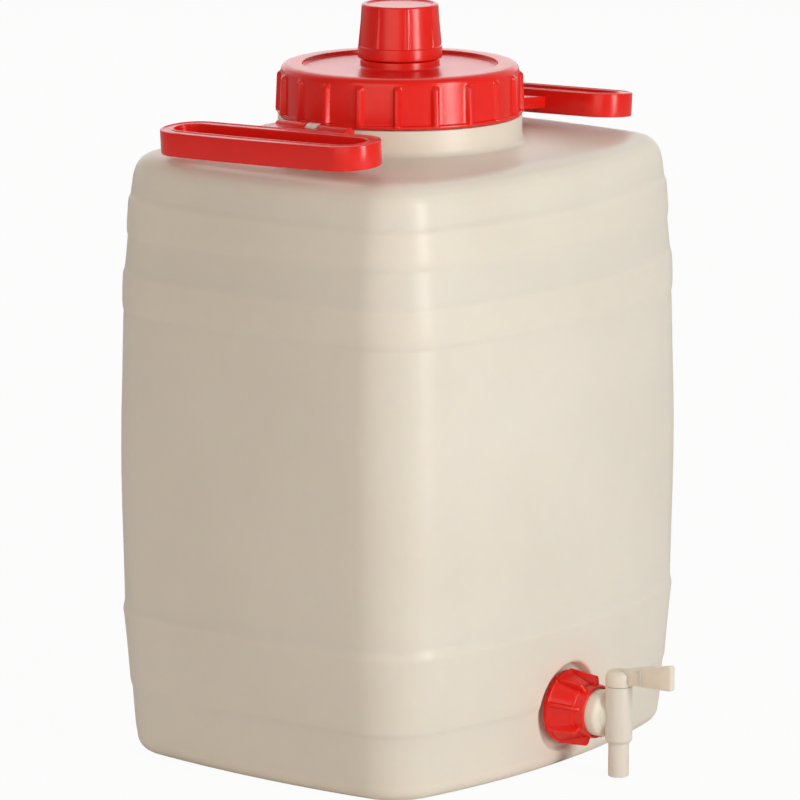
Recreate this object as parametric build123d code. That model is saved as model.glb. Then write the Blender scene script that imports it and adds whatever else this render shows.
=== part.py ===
"""Plastic drum of about 20 litres: a blow-moulded body, a big screw lid with a small capped
spout, two swing handles and a tap. Millimetres, +Z up, the tap faces -Y, and the origin is
the centre of the base on the ground."""
from build123d import *
import math
import os

os.makedirs("parts", exist_ok=True)

# Body: plan size at its widest level
body_length = 292.0
body_width = 258.0
corner_radius = 42.0
end_bulge = 4.4
side_bulge = 12.5
wall = 3.0

# Small bevel on moulded edges
edge_break = 0.8

# Body: base, girth rings and shoulder, each level as a height and an inset from the widest
foot_inset = 16.5
foot_height = 9.0
foot_top_inset = 8.6
low_ring_z = 41.8
low_ring_inset = 5.6
low_ring_step = 1.2
belt_z = 85.0
belt_inset = 0.7
belt_swell = 0.9
belt_height = 8.0
widest_z = 170.0
high_ring_z = 262.0
high_ring_inset = 2.0
high_ring_groove = 0.5
upper_step_z = 285.0
upper_step = 1.0
groove_z = 305.0
groove_inset = 5.0
groove_depth = 0.6
crown_step_z = 328.5
crown_inset = 5.6
crown_step = 1.3
ring_height = 3.0
shoulder_z = 340.0
shoulder_inset = 8.4
shoulder_round = 15.0
shoulder_edge_z = 353.5
core_inset = 26.5
dome_rise = 3.0

# Neck
neck_bore_radius = 62.0
neck_wall = 4.0
collar_out = 5.0
collar_flare = 8.0
collar_height = 15.0
neck_height = 39.0

# Big lid
lid_gap = 0.6
lid_wall = 2.6
lid_bore_gap = 1.0
lid_taper = 0.6
lid_lip_height = 2.0
lid_lip_out = 1.6
deck_thickness = 3.0
recess_gap = 2.1
recess_depth = 5.8
lid_edge_round = 4.0
lid_rib_count = 20
lid_rib_width = 4.6
lid_rib_out = 2.6
lid_rib_height = 22.5
gasket_thickness = 2.2
gasket_gap = 0.3
seal_gap = 0.1
lid_rest_gap = 0.3

# Small spout on the big lid, and its cap
spout_foot_radius = 23.0
spout_foot_height = 8.4
spout_bore_radius = 16.5
spout_wall = 2.7
spout_height = 36.4
cap_gap = 0.6
cap_bore_gap = 2.0
cap_wall = 2.5
cap_taper = 1.5
cap_foot_out = 0.8
cap_foot_height = 7.0
cap_top_thickness = 2.2
cap_rim = 2.6
cap_dish_depth = 0.8
cap_rib_count = 8
cap_rib_start = 3.5
cap_rib_width = 2.4
cap_rib_out = 0.8
cap_rib_height = 17.0
cap_seal_thickness = 1.6

# Handles
hinge_offset = 8.0
hinge_rise = 13.5
knuckle_radius = 5.0
hinge_pin_radius = 2.0
pin_fit_gap = 0.02
pin_running_gap = 0.1
hinge_half_width = 26.0
ear_half_width = 4.0
ear_gap = 0.4
handle_inset = 26.0
handle_length = 150.0
handle_width = 37.0
handle_corner = 17.5
handle_band = 8.0
handle_height = 14.5
handle_drop = 0.5
handle_skin = 2.2
handle_droop = 2.5
arm_thickness = 7.0
arm_spread = 4.0
stop_length = 16.0
stop_gap = 0.35

# Tap, on an axis that runs level through the front of the body
tap_z = 36.0
niche_radius = 34.0
niche_depth = 11.0
boss_bore_radius = 11.5
boss_wall = 3.5
boss_length = 13.0
tap_gasket_thickness = 2.0
flange_inset = 0.1
flange_thickness = 2.2
barrel_radius = 13.6
barrel_bore_radius = 8.0
barrel_round = 2.6
barrel_length = 24.8
tail_gap = 0.3
tail_length = 11.0
housing_wall = 1.58
housing_below = 15.3
housing_above = 18.0
plug_radius = 6.2
plug_running_gap = 0.07
outlet_step = 0.2
outlet_length = 19.9
outlet_bore_radius = 4.0
outlet_bore_past = 6.0
head_gap = 0.3
head_height = 9.0
lever_length = 37.8
lever_thickness = 4.4
lever_root_height = 10.1
lever_root_rise = 1.1
lever_end_height = 15.0
lever_end_rise = 2.3
lever_rib_offset = 16.2
ring_wire_radius = 0.7
ring_groove_gap = 0.05
upper_ring_depth = 4.5
lower_ring_depth = 4.3

# Union nut
nut_standoff = 3.4
nut_length = 24.2
nut_bore_gap = 0.4
nut_flange_out = 6.0
nut_flange_length = 3.2
nut_back_wall = 4.8
nut_ridge_wall = 0.9
nut_collar_length = 6.4
nut_collar_wall = 1.4
nut_opening_gap = 0.4
nut_rib_count = 8
nut_rib_start = 30.0
nut_rib_width = 2.6
nut_rib_back_out = 1.8
nut_rib_front_out = 4.1
nut_rib_past_ridge = 1.8

# Places that follow from the sizes above
half_length = body_length / 2
half_width = body_width / 2
corner_x = half_length - end_bulge - corner_radius
corner_y = half_width - side_bulge - corner_radius
finish_radius = neck_bore_radius + neck_wall
collar_radius = finish_radius + collar_out
dome_z = shoulder_edge_z + dome_rise
collar_top = dome_z + collar_height
neck_top = dome_z + neck_height
lid_bottom = collar_top + lid_gap
lid_top = neck_top + seal_gap + gasket_thickness + lid_rest_gap + deck_thickness
lid_bore_radius = finish_radius + lid_bore_gap
lid_radius = lid_bore_radius + lid_wall
recess_radius = neck_bore_radius - recess_gap - deck_thickness
recess_z = lid_top - recess_depth
spout_radius = spout_bore_radius + spout_wall
spout_top = recess_z + spout_height
cap_bottom = recess_z + spout_foot_height + cap_gap
cap_seal_radius = spout_radius + gasket_gap
cap_ceiling = spout_top + seal_gap + cap_seal_thickness + seal_gap
cap_top = cap_ceiling + cap_top_thickness
cap_bore_radius = spout_radius + cap_bore_gap
cap_base_radius = cap_bore_radius + cap_wall
cap_foot_radius = cap_base_radius + cap_foot_out
cap_top_radius = cap_base_radius - cap_taper
cap_dish_radius = cap_top_radius - cap_rim
hinge_z = dome_z + hinge_rise
hinge_reach = collar_radius + hinge_offset
stop_reach = hinge_reach + stop_length
handle_reach = half_length - handle_inset
niche_floor = half_width - niche_depth
boss_radius = boss_bore_radius + boss_wall
boss_end = niche_floor + boss_length
flange_radius = boss_radius - flange_inset
flange_back = boss_end + seal_gap + tap_gasket_thickness + seal_gap
flange_front = flange_back + flange_thickness
spindle_reach = flange_front + barrel_length
plug_bore_radius = plug_radius + plug_running_gap
housing_radius = plug_bore_radius + housing_wall
housing_bottom = tap_z - housing_below
housing_top = tap_z + housing_above
outlet_radius = plug_radius - outlet_step
outlet_bottom = housing_bottom - outlet_length
outlet_bore_top = tap_z + outlet_bore_past
head_bottom = housing_top + head_gap
ring_centre_radius = plug_radius - ring_wire_radius - ring_groove_gap
upper_ring_z = housing_top - upper_ring_depth
lower_ring_z = housing_bottom + lower_ring_depth
lever_reach = spindle_reach + lever_length
lever_rib_reach = spindle_reach + lever_rib_offset
lever_root_bottom = head_bottom + lever_root_rise
lever_root_top = lever_root_bottom + lever_root_height
lever_end_bottom = head_bottom + lever_end_rise
lever_end_top = lever_end_bottom + lever_end_height
nut_back = niche_floor + nut_standoff
nut_front = nut_back + nut_length
nut_ridge_reach = nut_front - nut_collar_length
nut_rib_front = nut_ridge_reach + nut_rib_past_ridge
lip_back = flange_front + seal_gap
nut_opening_radius = barrel_radius + nut_opening_gap
nut_bore_radius = boss_radius + nut_bore_gap
nut_flange_radius = nut_bore_radius + nut_flange_out
nut_back_radius = nut_bore_radius + nut_back_wall
nut_ridge_radius = nut_bore_radius + nut_ridge_wall
nut_collar_radius = nut_opening_radius + nut_collar_wall
nut_rib_back_radius = nut_back_radius + nut_rib_back_out
nut_rib_front_radius = nut_ridge_radius + nut_rib_front_out


def bow_radius(reach, across):
    """Radius of a bowed side that runs tangent into the corner arcs."""
    return (reach**2 + across**2 - corner_radius**2) / (2 * (reach - corner_radius))


end_radius = bow_radius(half_length - corner_x, corner_y)
side_radius = bow_radius(half_width - corner_y, corner_x)
end_angle = math.degrees(math.asin(corner_y / (end_radius - corner_radius)))
side_angle = math.degrees(math.asin(corner_x / (side_radius - corner_radius)))


def plan_arcs():
    """The eight arcs of the body's plan: centre x, centre y, radius, start angle, sweep."""
    corner_sweep = 90 - end_angle - side_angle
    arcs = []
    for turn, along in ((0, 1), (180, -1)):
        arcs.append((along * (half_length - end_radius), 0, end_radius, turn - end_angle, 2 * end_angle))
        arcs.append((along * corner_x, along * corner_y, corner_radius, turn + end_angle, corner_sweep))
        arcs.append((0, along * (half_width - side_radius), side_radius,
                     turn + 90 - side_angle, 2 * side_angle))
        arcs.append((-along * corner_x, along * corner_y, corner_radius,
                     turn + 90 + side_angle, corner_sweep))
    return arcs


def plan_wire(inset, height):
    """The body's plan outline, pulled in by an inset, at a height."""
    edges = [
        Edge.make_circle(radius - inset, Plane((x, y, height)), start, start + sweep)
        for x, y, radius, start, sweep in plan_arcs()
    ]
    return Wire(edges)


def ring_wire(radius, height):
    """A circle cut into the same eight spans as the plan outline."""
    edges = []
    for x, y, arc_radius, start, sweep in plan_arcs():
        ends = [
            math.degrees(math.atan2(y + arc_radius * math.sin(math.radians(angle)),
                                    x + arc_radius * math.cos(math.radians(angle))))
            for angle in (start, start + sweep)
        ]
        if ends[1] < ends[0]:
            ends[1] += 360
        edges.append(Edge.make_circle(radius, Plane((0, 0, height)), ends[0], ends[1]))
    return Wire(edges)


def turned(points):
    """A solid turned about Z from the radius and height of each corner, and its rounding."""
    places = [(point[0], 0, point[1]) for point in points]
    rounds = [point[2] if len(point) > 2 else 0 for point in points]
    if any(rounds):
        outline = FilletPolyline(*places, radius=rounds, close=True)
    else:
        outline = Polyline(*places, close=True)
    return revolve(make_face(outline), axis=Axis.Z)


def along_tap(points):
    """A solid turned about the tap's level axis from the radius and reach of each corner."""
    return Pos(0, 0, tap_z) * Rot(90, 0, 0) * turned(points)


def grip_rib(radius_in, radius_out, width, height, slope):
    """A rib along +X with narrowed flanks, whose outer face leans in at its upper end."""
    plan = Polyline((radius_in, -width / 2), (radius_out - slope / 2, -width / 2),
                    (radius_out, -width / 4), (radius_out, width / 4),
                    (radius_out - slope / 2, width / 2), (radius_in, width / 2), close=True)
    rib = extrude(make_face(plan), height)
    tip = rib.faces().sort_by(Axis.Z)[-1].edges().sort_by(Axis.X)[-1]
    return chamfer(tip, slope)


def around(solid, count, start=0.0):
    """Copies of a solid spaced evenly about Z."""
    return [Rot(0, 0, start + index * 360 / count) * solid for index in range(count)]


def outer_profile():
    """The body's outside from the foot to the shoulder's edge, as inset and height."""
    return [
        (foot_inset, 0.0),
        ((foot_inset + foot_top_inset) / 2 - 2.5, foot_height * 0.25),
        (foot_top_inset, foot_height),
        (low_ring_inset, low_ring_z - ring_height),
        (low_ring_inset - low_ring_step, low_ring_z),
        (belt_inset + belt_swell, belt_z - belt_height / 2),
        (belt_inset, belt_z),
        (belt_inset + belt_swell, belt_z + belt_height / 2),
        (belt_swell / 2, (belt_z + widest_z) / 2),
        (0.0, widest_z),
        (high_ring_inset / 4, (widest_z + high_ring_z) / 2),
        (high_ring_inset, high_ring_z - ring_height),
        (high_ring_inset + high_ring_groove, high_ring_z),
        (high_ring_inset - high_ring_groove, high_ring_z + ring_height),
        (high_ring_inset, upper_step_z - ring_height / 2),
        (high_ring_inset + upper_step, upper_step_z + ring_height / 2),
        (groove_inset - groove_depth / 2, groove_z - ring_height),
        (groove_inset, groove_z),
        (groove_inset - groove_depth, groove_z + ring_height),
        (crown_inset, crown_step_z - ring_height / 2),
        (crown_inset + crown_step, crown_step_z + ring_height / 2),
        (shoulder_inset, shoulder_z),
    ]


def body_sectors():
    """The shell round the sides, turned span by span about the centre of each plan arc."""
    sides = outer_profile()
    outside = [(core_inset, 0.0)] + sides
    outside.append((shoulder_inset + shoulder_round * 0.1, shoulder_z + shoulder_round * 0.5))
    outside.append((shoulder_inset + shoulder_round * 0.36, shoulder_edge_z - 1.8))
    outside.append((core_inset, shoulder_edge_z))
    inside = [
        (core_inset, shoulder_edge_z - wall),
        (shoulder_inset + wall + shoulder_round * 0.3, shoulder_edge_z - wall - 2.0),
        (shoulder_inset + wall, shoulder_z),
        (high_ring_inset + wall, high_ring_z),
        (wall, widest_z),
        (belt_inset + belt_swell + wall, belt_z),
        (foot_top_inset + wall, foot_height + wall),
        (foot_inset + wall, wall),
        (core_inset, wall),
    ]
    sectors = []
    for x, y, radius, start, sweep in plan_arcs():
        points = [(radius - inset, 0, height) for inset, height in outside + inside]
        face = make_face(Polyline(*points, close=True))
        span = revolve(face, axis=Axis.Z, revolution_arc=sweep)
        sectors.append(Pos(x, y, 0) * Rot(0, 0, start) * span)
    return sectors


def make_body():
    """The blow-moulded shell with its neck, hinge ears, niche and outlet boss."""
    floor = extrude(make_face(plan_wire(core_inset, 0)), wall)
    under = shoulder_edge_z - wall
    root = collar_radius + collar_flare
    dome = loft([make_face(plan_wire(core_inset, shoulder_edge_z)), make_face(ring_wire(root, dome_z))])
    skirt = extrude(make_face(plan_wire(core_inset, under)), wall)
    hollow = loft([make_face(plan_wire(core_inset, under)), make_face(ring_wire(root, dome_z - wall))])
    mouth = Pos(0, 0, under) * extrude(Circle(neck_bore_radius), neck_height)
    roof = skirt + dome - hollow - mouth
    neck = turned([
        (neck_bore_radius, dome_z - wall * 0.9),
        (root, dome_z - wall * 0.9),
        (root, dome_z),
        (collar_radius, dome_z, collar_flare * 0.98),
        (collar_radius, collar_top),
        (finish_radius, collar_top),
        (finish_radius, neck_top - edge_break),
        (finish_radius - edge_break, neck_top),
        (neck_bore_radius, neck_top),
    ])
    body = floor
    for piece in body_sectors() + [roof, neck]:
        body = body + piece
    for side in (0, 180):
        body = body + Rot(0, 0, side) * hinge_ear()
    outside = extrude(make_face(plan_wire(foot_top_inset + 0.5, 2)), shoulder_z)
    cup = along_tap([(0, niche_floor - wall), (niche_radius + wall, niche_floor - wall),
                     (niche_radius + wall, half_width), (0, half_width)])
    body = body + (cup & outside)
    body = body - along_tap([(0, niche_floor), (niche_radius, niche_floor),
                             (niche_radius, half_width), (0, half_width)])
    body = body + along_tap([
        (0, niche_floor - wall),
        (boss_radius, niche_floor - wall),
        (boss_radius, boss_end),
        (0, boss_end),
    ])
    return body - along_tap([
        (0, niche_floor - 2 * wall),
        (boss_bore_radius, niche_floor - 2 * wall),
        (boss_bore_radius, boss_end + 1),
        (0, boss_end + 1),
    ])


def hinge_ear():
    """The ear that holds a handle's pin, with the stop that the arm lies on."""
    root_z = dome_z - wall
    stop_z = hinge_z - arm_thickness / 2 - stop_gap
    stop_z -= (stop_reach - hinge_reach) * math.tan(math.radians(handle_droop))
    inner = collar_radius - 0.5
    post = Pos(0, ear_half_width, 0) * extrude(
        make_face(Polyline(
            (inner, 0, root_z), (stop_reach, 0, root_z), (stop_reach, 0, stop_z),
            (hinge_reach + knuckle_radius, 0, stop_z), (hinge_reach + knuckle_radius, 0, hinge_z),
            (hinge_reach - knuckle_radius, 0, hinge_z), (hinge_reach - knuckle_radius, 0, stop_z),
            (inner, 0, stop_z), close=True)),
        2 * ear_half_width, dir=(0, -1, 0))
    eye = Pos(hinge_reach, 0, hinge_z) * Rot(90, 0, 0) * Cylinder(knuckle_radius, 2 * ear_half_width)
    hole = Pos(hinge_reach, 0, hinge_z) * Rot(90, 0, 0) * Cylinder(
        hinge_pin_radius + pin_fit_gap, 4 * ear_half_width)
    return post + eye - hole


def make_screw_lid():
    """The big lid: skirt, grip ribs, raised rim, sunken deck and spout in one piece."""
    rim_outer = lid_radius - lid_taper
    shell = turned([
        (lid_bore_radius, lid_bottom),
        (lid_radius + lid_lip_out, lid_bottom),
        (lid_radius + lid_lip_out, lid_bottom + lid_lip_height),
        (lid_radius, lid_bottom + lid_lip_height),
        (rim_outer, lid_top, lid_edge_round),
        (recess_radius + edge_break, lid_top),
        (recess_radius, lid_top - edge_break),
        (recess_radius, recess_z),
        (spout_foot_radius, recess_z),
        (spout_foot_radius, recess_z + spout_foot_height),
        (spout_radius, recess_z + spout_foot_height),
        (spout_radius, spout_top),
        (spout_bore_radius, spout_top),
        (spout_bore_radius, recess_z - deck_thickness),
        (recess_radius + deck_thickness, recess_z - deck_thickness),
        (recess_radius + deck_thickness, lid_top - deck_thickness),
        (lid_bore_radius, lid_top - deck_thickness),
    ])
    rib = grip_rib(lid_radius - lid_wall / 2, lid_radius + lid_rib_out, lid_rib_width, lid_rib_height,
                   lid_rib_out * 0.6)
    rib = Pos(0, 0, lid_bottom + lid_lip_height - 0.5) * rib
    for copy in around(rib, lid_rib_count):
        shell = shell + copy
    return shell


def make_lid_gasket():
    """The flat ring between the neck's rim and the deck of the big lid."""
    low = neck_top + seal_gap
    return turned([
        (neck_bore_radius + gasket_gap, low),
        (finish_radius - gasket_gap, low),
        (finish_radius - gasket_gap, low + gasket_thickness),
        (neck_bore_radius + gasket_gap, low + gasket_thickness),
    ])


def make_small_cap():
    """The cap of the middle spout, with a plain foot band and eight ribs."""
    foot_top = cap_bottom + cap_foot_height
    shell = turned([
        (0, cap_ceiling),
        (cap_bore_radius - cap_taper, cap_ceiling),
        (cap_bore_radius, cap_bottom),
        (cap_foot_radius, cap_bottom),
        (cap_foot_radius, foot_top),
        (cap_base_radius, foot_top),
        (cap_top_radius, cap_top - edge_break),
        (cap_top_radius - edge_break, cap_top),
        (cap_dish_radius, cap_top),
        (cap_dish_radius - edge_break, cap_top - cap_dish_depth),
        (0, cap_top - cap_dish_depth),
    ])
    rib = grip_rib(cap_top_radius - cap_wall / 4, cap_base_radius + cap_rib_out, cap_rib_width,
                   cap_rib_height, cap_rib_out)
    rib = Pos(0, 0, foot_top - 0.2) * rib
    for copy in around(rib, cap_rib_count, cap_rib_start):
        shell = shell + copy
    return shell


def make_small_cap_seal():
    """The disc that the small cap presses on its spout."""
    low = spout_top + seal_gap
    return turned([
        (0, low),
        (cap_seal_radius, low),
        (cap_seal_radius, low + cap_seal_thickness),
        (0, low + cap_seal_thickness),
    ])


def make_handle(side):
    """A carrying loop with its hinge arm, drooped a little about its pin."""
    middle = hinge_z - handle_drop
    band = RectangleRounded(handle_width, handle_length, handle_corner)
    gap = RectangleRounded(handle_width - 2 * handle_band, handle_length - 2 * handle_band,
                           handle_corner - handle_band)
    loop = extrude(band - gap, handle_height)
    loop = chamfer(loop.faces().sort_by(Axis.Z)[-1].edges(), edge_break)
    outer_skin = RectangleRounded(handle_width - 2 * handle_skin, handle_length - 2 * handle_skin,
                                  handle_corner - handle_skin)
    inner_reach = handle_band - handle_skin
    inner_skin = RectangleRounded(handle_width - 2 * inner_reach, handle_length - 2 * inner_reach,
                                  handle_corner - inner_reach)
    loop = loop - extrude(outer_skin - inner_skin, handle_height - handle_skin)
    loop = Pos(handle_reach, 0, middle - handle_height / 2) * loop
    arm_end = handle_reach - handle_width / 2 + handle_skin
    wide = hinge_half_width + arm_spread
    arm = extrude(make_face(Polyline(
        (hinge_reach, -hinge_half_width), (arm_end, -wide), (arm_end, wide),
        (hinge_reach, hinge_half_width), close=True)), arm_thickness)
    arm = Pos(0, 0, hinge_z - arm_thickness / 2) * arm
    knuckle = Pos(hinge_reach, 0, hinge_z) * Rot(90, 0, 0) * Cylinder(
        knuckle_radius, 2 * hinge_half_width)
    pin_hole = Pos(hinge_reach, 0, hinge_z) * Rot(90, 0, 0) * Cylinder(
        hinge_pin_radius + pin_running_gap, 4 * hinge_half_width)
    slot_reach = knuckle_radius + 1.0
    slot = Pos(hinge_reach, 0, hinge_z) * Box(
        2 * slot_reach, 2 * (ear_half_width + ear_gap), 4 * knuckle_radius)
    handle = loop + arm + knuckle - slot - pin_hole
    droop = Pos(hinge_reach, 0, hinge_z) * Rot(0, handle_droop, 0) * Pos(-hinge_reach, 0, -hinge_z)
    return Rot(0, 0, side) * droop * handle


def make_hinge_pin(side):
    """The pin through a handle's knuckles and the body's ear."""
    pin = Rot(90, 0, 0) * Cylinder(hinge_pin_radius, 2 * hinge_half_width - 2.0)
    pin = chamfer(pin.edges(), 0.4)
    return Rot(0, 0, side) * Pos(hinge_reach, 0, hinge_z) * pin


def make_tap_nut():
    """The tapered union nut: back flange, cone, ridge, collar and long ribs."""
    shell = along_tap([
        (nut_bore_radius, nut_back),
        (nut_flange_radius, nut_back),
        (nut_flange_radius, nut_back + nut_flange_length),
        (nut_back_radius, nut_back + nut_flange_length),
        (nut_ridge_radius, nut_ridge_reach - 2.0),
        (nut_ridge_radius, nut_ridge_reach),
        (nut_collar_radius, nut_ridge_reach),
        (nut_collar_radius, nut_front),
        (nut_opening_radius, nut_front),
        (nut_opening_radius, lip_back),
        (nut_bore_radius, lip_back),
    ])
    rib = extrude(
        make_face(Polyline(
            (nut_bore_radius + 0.6, 0, nut_back + 0.4),
            (nut_rib_back_radius, 0, nut_back + 0.4),
            (nut_rib_front_radius, 0, nut_rib_front),
            (nut_collar_radius - 0.6, 0, nut_rib_front + 2.0),
            (nut_collar_radius - 0.6, 0, lip_back + 0.6),
            (nut_bore_radius + 0.6, 0, lip_back), close=True)),
        nut_rib_width / 2, dir=(0, 1, 0), both=True)
    for copy in around(rib, nut_rib_count, nut_rib_start):
        shell = shell + Pos(0, 0, tap_z) * Rot(90, 0, 0) * copy
    return shell


def make_tap_gasket():
    """The ring between the outlet boss and the tap's flange."""
    back = boss_end + seal_gap
    return along_tap([
        (boss_bore_radius + gasket_gap, back),
        (boss_radius - gasket_gap, back),
        (boss_radius - gasket_gap, back + tap_gasket_thickness),
        (boss_bore_radius + gasket_gap, back + tap_gasket_thickness),
    ])


def make_tap_body():
    """The tap's tail, flange, level barrel and upright housing."""
    tail_radius = boss_bore_radius - tail_gap
    tail_end = boss_end - tail_length
    barrel = along_tap([
        (0, tail_end),
        (tail_radius - edge_break, tail_end),
        (tail_radius, tail_end + edge_break),
        (tail_radius, flange_back),
        (flange_radius, flange_back),
        (flange_radius, flange_front),
        (barrel_radius, flange_front),
        (barrel_radius, spindle_reach - housing_radius - barrel_round),
        (barrel_radius - barrel_round, spindle_reach - housing_radius),
        (housing_radius * 0.8, spindle_reach - housing_radius * 0.4),
        (0, spindle_reach - housing_radius * 0.4),
    ])
    upright = Pos(0, -spindle_reach, 0)
    housing = upright * turned([
        (0, housing_bottom),
        (housing_radius - edge_break, housing_bottom),
        (housing_radius, housing_bottom + 2 * edge_break),
        (housing_radius, housing_top),
        (0, housing_top),
    ])
    plug_bore = upright * Pos(0, 0, (housing_bottom + housing_top) / 2) * Cylinder(
        plug_bore_radius, 2 * (housing_top - housing_bottom))
    bore = along_tap([
        (0, tail_end - 1),
        (barrel_bore_radius, tail_end - 1),
        (barrel_bore_radius, spindle_reach - housing_radius - 1.5),
        (outlet_bore_radius, spindle_reach - housing_radius + 1.5),
        (outlet_bore_radius, spindle_reach),
        (0, spindle_reach),
    ])
    return barrel + housing - plug_bore - bore


def lever_blade():
    """The upright blade that fans out from the plug's head, with its small rib."""
    outline = Polyline(
        (0, -spindle_reach, lever_root_bottom), (0, -lever_reach, lever_end_bottom),
        (0, -lever_reach, lever_end_top), (0, -spindle_reach - housing_radius / 2, lever_root_top - 1.0),
        (0, -spindle_reach, lever_root_top - 4.0), close=True)
    blade = extrude(make_face(outline), lever_thickness / 2, dir=(1, 0, 0), both=True)
    tip = blade.edges().filter_by(Axis.X).sort_by(Axis.Y)[:2]
    blade = fillet(tip, 1.2)
    rib_height = (lever_root_top - lever_root_bottom) * 0.7
    rib = Pos(0, -lever_rib_reach, (lever_root_top + lever_root_bottom) / 2 + 1.0) * Box(
        lever_thickness + 1.2, 1.6, rib_height)
    return blade + rib


def make_tap_plug():
    """The plug in one piece: domed head, lever blade, shank with grooves, outlet pipe."""
    upright = Pos(0, -spindle_reach, 0)
    groove = ring_centre_radius - ring_wire_radius - ring_groove_gap
    half = ring_wire_radius + 0.15
    stem = upright * turned([
        (0, outlet_bottom),
        (outlet_radius, outlet_bottom),
        (outlet_radius, housing_bottom - 1.0),
        (plug_radius, housing_bottom + 1.0),
        (plug_radius, lower_ring_z - half),
        (groove, lower_ring_z - half),
        (groove, lower_ring_z + half),
        (plug_radius, lower_ring_z + half),
        (plug_radius, upper_ring_z - half),
        (groove, upper_ring_z - half),
        (groove, upper_ring_z + half),
        (plug_radius, upper_ring_z + half),
        (plug_radius, head_bottom),
        (housing_radius, head_bottom),
        (housing_radius, head_bottom + head_height, housing_radius * 0.7),
        (0, head_bottom + head_height),
    ])
    outlet = upright * Pos(0, 0, outlet_bottom - 1) * extrude(
        Circle(outlet_bore_radius), outlet_bore_top - outlet_bottom + 1)
    port = Pos(0, -spindle_reach + plug_radius / 2 + 1, tap_z) * Rot(90, 0, 0) * Cylinder(
        outlet_bore_radius, plug_radius + 2)
    return stem + lever_blade() - outlet - port


def make_plug_ring(height):
    """A rubber ring that sits in a groove of the plug, turned from an eight-sided section."""
    section = Plane.XZ * Pos(ring_centre_radius, 0) * RegularPolygon(ring_wire_radius, 8)
    return Pos(0, -spindle_reach, height) * revolve(section, axis=Axis.Z)


nodes = {
    "drum_body": make_body(),
    "screw_lid": make_screw_lid(),
    "lid_gasket": make_lid_gasket(),
    "small_cap": make_small_cap(),
    "small_cap_seal": make_small_cap_seal(),
    "handle_left": make_handle(180),
    "handle_right": make_handle(0),
    "hinge_pin_left": make_hinge_pin(180),
    "hinge_pin_right": make_hinge_pin(0),
    "tap_nut": make_tap_nut(),
    "tap_gasket": make_tap_gasket(),
    "tap_body": make_tap_body(),
    "tap_plug": make_tap_plug(),
    "plug_ring_upper": make_plug_ring(upper_ring_z),
    "plug_ring_lower": make_plug_ring(lower_ring_z),
}

for name, solid in nodes.items():
    export_step(solid, f"parts/{name}.step")
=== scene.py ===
import math

import bpy
import numpy as np
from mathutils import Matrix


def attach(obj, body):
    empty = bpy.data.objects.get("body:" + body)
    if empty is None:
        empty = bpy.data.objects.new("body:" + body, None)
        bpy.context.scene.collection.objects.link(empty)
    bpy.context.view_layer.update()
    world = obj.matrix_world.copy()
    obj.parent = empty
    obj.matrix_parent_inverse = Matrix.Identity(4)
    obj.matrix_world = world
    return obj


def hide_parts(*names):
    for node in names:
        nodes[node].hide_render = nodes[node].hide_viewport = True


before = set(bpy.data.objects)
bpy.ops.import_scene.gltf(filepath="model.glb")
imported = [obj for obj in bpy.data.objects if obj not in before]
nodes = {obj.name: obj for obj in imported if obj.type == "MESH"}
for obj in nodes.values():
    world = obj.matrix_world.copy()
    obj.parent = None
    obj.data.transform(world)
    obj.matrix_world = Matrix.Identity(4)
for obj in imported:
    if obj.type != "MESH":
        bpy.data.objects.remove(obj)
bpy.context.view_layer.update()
scene = bpy.context.scene
MM = 0.001
FULL_TURN = 2 * math.pi


# ---------------------------------------------------------------- camera
PHOTO_PX = 800.0
SENSOR_MM = 36.0
CAM_TURN = math.radians(-51.798)
CAM_PITCH = math.radians(11.495)
CAM_DIST = 3.3223
CAM_HEIGHT = 0.87699
CAM_FOCAL_PX = 5782.04

cam_data = bpy.data.cameras.new("photo_camera")
cam_data.sensor_width = SENSOR_MM
cam_data.lens = CAM_FOCAL_PX * SENSOR_MM / PHOTO_PX
cam_data.clip_start = 0.1
cam_data.clip_end = 200.0
camera = bpy.data.objects.new("photo_camera", cam_data)
scene.collection.objects.link(camera)
camera.location = (CAM_DIST * math.sin(CAM_TURN), -CAM_DIST * math.cos(CAM_TURN), CAM_HEIGHT)
camera.rotation_euler = (math.radians(90) - CAM_PITCH, 0, CAM_TURN)
scene.camera = camera
scene.view_settings.view_transform = "Standard"


# ---------------------------------------------------------------- lines in a plane
NEARLY_STRAIGHT = 0.02     # a corner that turns less than this stays as it is
SIDE_SHARE = 0.48          # the most of a side that one rounded corner takes


def rounded(points, steps=5):
    """A polyline whose corners are rounded: its points are (a, b) or (a, b, radius)."""
    pts = [np.array(p[:2], float) for p in points]
    radii = [p[2] if len(p) > 2 else 0.0 for p in points]
    out = []
    for i, p in enumerate(pts):
        if radii[i] <= 0 or i in (0, len(pts) - 1):
            out.append(p)
            continue
        a, b = pts[i - 1] - p, pts[i + 1] - p
        len_a, len_b = np.linalg.norm(a), np.linalg.norm(b)
        a, b = a / len_a, b / len_b
        turn = math.acos(max(-1.0, min(1.0, float(np.dot(a, b)))))
        if turn > math.pi - NEARLY_STRAIGHT:
            out.append(p)
            continue
        cut = min(radii[i] / math.tan(turn / 2), SIDE_SHARE * len_a, SIDE_SHARE * len_b)
        r = cut * math.tan(turn / 2)
        bisector = (a + b) / np.linalg.norm(a + b)
        centre = p + bisector * (r / math.sin(turn / 2))
        first, last = p + a * cut - centre, p + b * cut - centre
        start = math.atan2(first[1], first[0])
        sweep = (math.atan2(last[1], last[0]) - start + math.pi) % FULL_TURN - math.pi
        for k in range(steps + 1):
            t = start + sweep * k / steps
            out.append(centre + r * np.array((math.cos(t), math.sin(t))))
    return np.array(out)


def dense(line, step):
    """The same polyline with no segment longer than a step."""
    out = [line[0]]
    for p, q in zip(line[:-1], line[1:]):
        n = max(1, int(math.ceil(np.linalg.norm(q - p) / step)))
        for k in range(1, n + 1):
            out.append(p + (q - p) * k / n)
    return np.array(out)


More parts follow.
